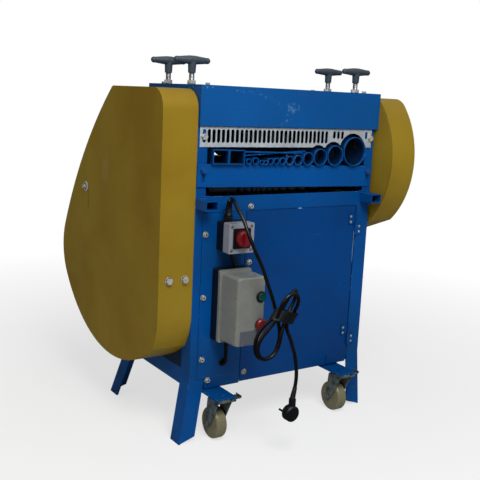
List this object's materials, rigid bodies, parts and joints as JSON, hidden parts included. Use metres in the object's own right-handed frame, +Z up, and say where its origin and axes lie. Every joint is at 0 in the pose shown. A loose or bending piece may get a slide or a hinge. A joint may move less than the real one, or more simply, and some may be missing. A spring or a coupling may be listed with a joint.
{
  "type": "cable stripping machine",
  "caption": "Free-standing cable stripping machine: guide tubes, feed rollers and blades above a cabinet on splayed legs, with drive covers",
  "frame": {"origin": "middle of the machine's bounding box without its free cord, at floor level", "axes": "+X along the front to the right as seen by the operator, +Y to the back, +Z up"},
  "size_m": [0.708, 0.7728, 0.8798],
  "materials": {
    "blue_paint": "semi-gloss",
    "yellow_paint": "semi-gloss",
    "zinc_strip": "galvanised",
    "steel_parts": "machined",
    "dark_castings": "oiled",
    "black_plastic": "moulded",
    "grey_plastic": "moulded",
    "red_plastic": "moulded",
    "green_plastic": "moulded",
    "belt_rubber": "matte",
    "cream_nylon": "moulded"
  },
  "bodies": {
    "frame": {"posts": "blue_paint", "rails": "blue_paint", "service_panel": "blue_paint", "body_panels": "blue_paint", "side_plates": "blue_paint", "top_bars": "blue_paint", "hood": "blue_paint", "guard_strip": "zinc_strip", "infeed_sockets": "blue_paint", "left_cover": "yellow_paint", "right_cover": "yellow_paint", "fasteners": "steel_parts", "flange_bearings": "dark_castings", "jack_cartridge": "dark_castings", "gearmotor": "blue_paint", "motor_shelf": "blue_paint", "v_belts": "belt_rubber", "chain": "dark_castings", "idler_axle": "steel_parts", "box_bases": "black_plastic", "switch_cover": "grey_plastic", "starter_cover": "grey_plastic", "cord_gland": "black_plastic", "cables": "black_plastic", "castor_plates": "blue_paint", "hinge_leaves": "blue_paint", "power_cord": "black_plastic", "cord_hank": "black_plastic", "power_plug": "black_plastic"},
    "door": {"door": "blue_paint"},
    "tray": {"feed_tray": "blue_paint", "guide_tubes": "blue_paint"},
    "front_slide": {"front_blocks": "dark_castings"},
    "rear_slide": {"rear_blocks": "dark_castings"},
    "blade_drum": {"blade_shaft": "steel_parts", "blades": "steel_parts", "blade_gear": "dark_castings"},
    "press_drum": {"press_roller": "steel_parts"},
    "front_feed": {"front_feed_roller": "steel_parts", "front_feed_gears": "dark_castings", "driven_sprocket": "dark_castings"},
    "rear_feed": {"rear_feed_roller": "steel_parts", "rear_feed_gear": "dark_castings"},
    "idler": {"idler_gear": "dark_castings"},
    "jack": {"jack_shaft": "steel_parts", "big_pulley": "dark_castings"},
    "motor_rotor": {"motor_pulley": "dark_castings"},
    "handle_fl": {"handle_front_left": "black_plastic"},
    "handle_fr": {"handle_front_right": "black_plastic"},
    "handle_rl": {"handle_rear_left": "black_plastic"},
    "handle_rr": {"handle_rear_right": "black_plastic"},
    "main_switch": {"switch_knob": "red_plastic"},
    "start": {"start_button": "green_plastic"},
    "stop": {"stop_button": "red_plastic"},
    "fork_left": {"castor_fork_left": "zinc_strip"},
    "fork_right": {"castor_fork_right": "zinc_strip"},
    "wheel_left": {"castor_wheel_left": "cream_nylon"},
    "wheel_right": {"castor_wheel_right": "cream_nylon"},
    "pedal_left": {"castor_pedal_left": "zinc_strip"},
    "pedal_right": {"castor_pedal_right": "zinc_strip"}
  },
  "joints": [
    {"name": "door_hinge", "type": "hinge", "parent": "frame", "child": "door", "pos_m": [0.218, -0.2345, 0.3], "axis": [0, 0, 1], "range_deg": [0, 110]},
    {"name": "tray_height", "type": "slide", "parent": "frame", "child": "tray", "axis": [0, 0, 1], "range_m": [0, 0.004]},
    {"name": "front_roller_lift", "type": "slide", "parent": "frame", "child": "front_slide", "axis": [0, 0, 1], "range_m": [0, 0.006]},
    {"name": "rear_roller_lift", "type": "slide", "parent": "frame", "child": "rear_slide", "axis": [0, 0, 1], "range_m": [0, 0.006]},
    {"name": "blade_drum_turn", "type": "hinge", "parent": "front_slide", "child": "blade_drum", "pos_m": [-0.259, -0.1635, 0.704], "axis": [1, 0, 0], "continuous": true},
    {"name": "press_roller_turn", "type": "hinge", "parent": "rear_slide", "child": "press_drum", "pos_m": [-0.259, -0.0535, 0.704], "axis": [1, 0, 0], "continuous": true},
    {"name": "feed_roller_turn", "type": "hinge", "parent": "frame", "child": "front_feed", "pos_m": [-0.259, -0.1635, 0.59], "axis": [1, 0, 0], "continuous": true},
    {"name": "rear_feed_turn", "type": "hinge", "parent": "frame", "child": "rear_feed", "pos_m": [-0.259, -0.0535, 0.59], "axis": [1, 0, 0], "continuous": true},
    {"name": "idler_turn", "type": "hinge", "parent": "frame", "child": "idler", "pos_m": [-0.259, -0.1085, 0.53191], "axis": [1, 0, 0], "continuous": true},
    {"name": "jack_shaft_turn", "type": "hinge", "parent": "frame", "child": "jack", "pos_m": [-0.259, -0.0785, 0.2936], "axis": [1, 0, 0], "continuous": true},
    {"name": "motor_turn", "type": "hinge", "parent": "frame", "child": "motor_rotor", "pos_m": [-0.259, 0.2115, 0.37], "axis": [1, 0, 0], "continuous": true},
    {"name": "handle_fl_turn", "type": "hinge", "parent": "front_slide", "child": "handle_fl", "pos_m": [-0.242, -0.1635, 0.8], "axis": [0, 0, 1], "range_deg": [0, 1080]},
    {"name": "handle_fr_turn", "type": "hinge", "parent": "front_slide", "child": "handle_fr", "pos_m": [0.244, -0.1635, 0.8], "axis": [0, 0, 1], "range_deg": [0, 1080]},
    {"name": "handle_rl_turn", "type": "hinge", "parent": "rear_slide", "child": "handle_rl", "pos_m": [-0.242, -0.0535, 0.8], "axis": [0, 0, 1], "range_deg": [0, 1080]},
    {"name": "handle_rr_turn", "type": "hinge", "parent": "rear_slide", "child": "handle_rr", "pos_m": [0.244, -0.0535, 0.8], "axis": [0, 0, 1], "range_deg": [0, 1080]},
    {"name": "switch_turn", "type": "hinge", "parent": "frame", "child": "main_switch", "pos_m": [-0.1685, -0.2885, 0.4825], "axis": [0, -1, 0], "range_deg": [0, 90]},
    {"name": "start_press", "type": "slide", "parent": "frame", "child": "start", "axis": [0, 1, 0], "range_m": [0, 0.004], "stiffness_N_per_m": 400},
    {"name": "stop_press", "type": "slide", "parent": "frame", "child": "stop", "axis": [0, 1, 0], "range_m": [0, 0.004], "stiffness_N_per_m": 400},
    {"name": "castor_swivel_left", "type": "hinge", "parent": "frame", "child": "fork_left", "pos_m": [-0.199, -0.2745, 0.1], "axis": [0, 0, 1], "range_deg": [-60, 30]},
    {"name": "castor_wheel_turn_left", "type": "hinge", "parent": "fork_left", "child": "wheel_left", "pos_m": [-0.199, -0.2505, 0.0377], "axis": [1, 0, 0], "continuous": true},
    {"name": "castor_pedal_press_left", "type": "hinge", "parent": "fork_left", "child": "pedal_left", "pos_m": [-0.1705, -0.2745, 0.1012], "axis": [0, 1, 0], "range_deg": [0, 15]},
    {"name": "castor_swivel_right", "type": "hinge", "parent": "frame", "child": "fork_right", "pos_m": [0.168, -0.2745, 0.1], "axis": [0, 0, 1], "range_deg": [-40, 60]},
    {"name": "castor_wheel_turn_right", "type": "hinge", "parent": "fork_right", "child": "wheel_right", "pos_m": [0.168, -0.2505, 0.0377], "axis": [1, 0, 0], "continuous": true},
    {"name": "castor_pedal_press_right", "type": "hinge", "parent": "fork_right", "child": "pedal_right", "pos_m": [0.1965, -0.2745, 0.1012], "axis": [0, 1, 0], "range_deg": [0, 15]}
  ],
  "couplings": [
    {"joint": "blade_drum_turn", "follows": "feed_roller_turn", "ratio": -1},
    {"joint": "rear_feed_turn", "follows": "feed_roller_turn", "ratio": 1},
    {"joint": "idler_turn", "follows": "feed_roller_turn", "ratio": -1},
    {"joint": "jack_shaft_turn", "follows": "feed_roller_turn", "ratio": 1.4286},
    {"joint": "motor_turn", "follows": "feed_roller_turn", "ratio": 3.2468},
    {"joint": "handle_fl_turn", "follows": "front_roller_lift", "rad_per_m": 3141.6},
    {"joint": "handle_fr_turn", "follows": "front_roller_lift", "rad_per_m": 3141.6},
    {"joint": "handle_rl_turn", "follows": "rear_roller_lift", "rad_per_m": 3141.6},
    {"joint": "handle_rr_turn", "follows": "rear_roller_lift", "rad_per_m": 3141.6}
  ]
}
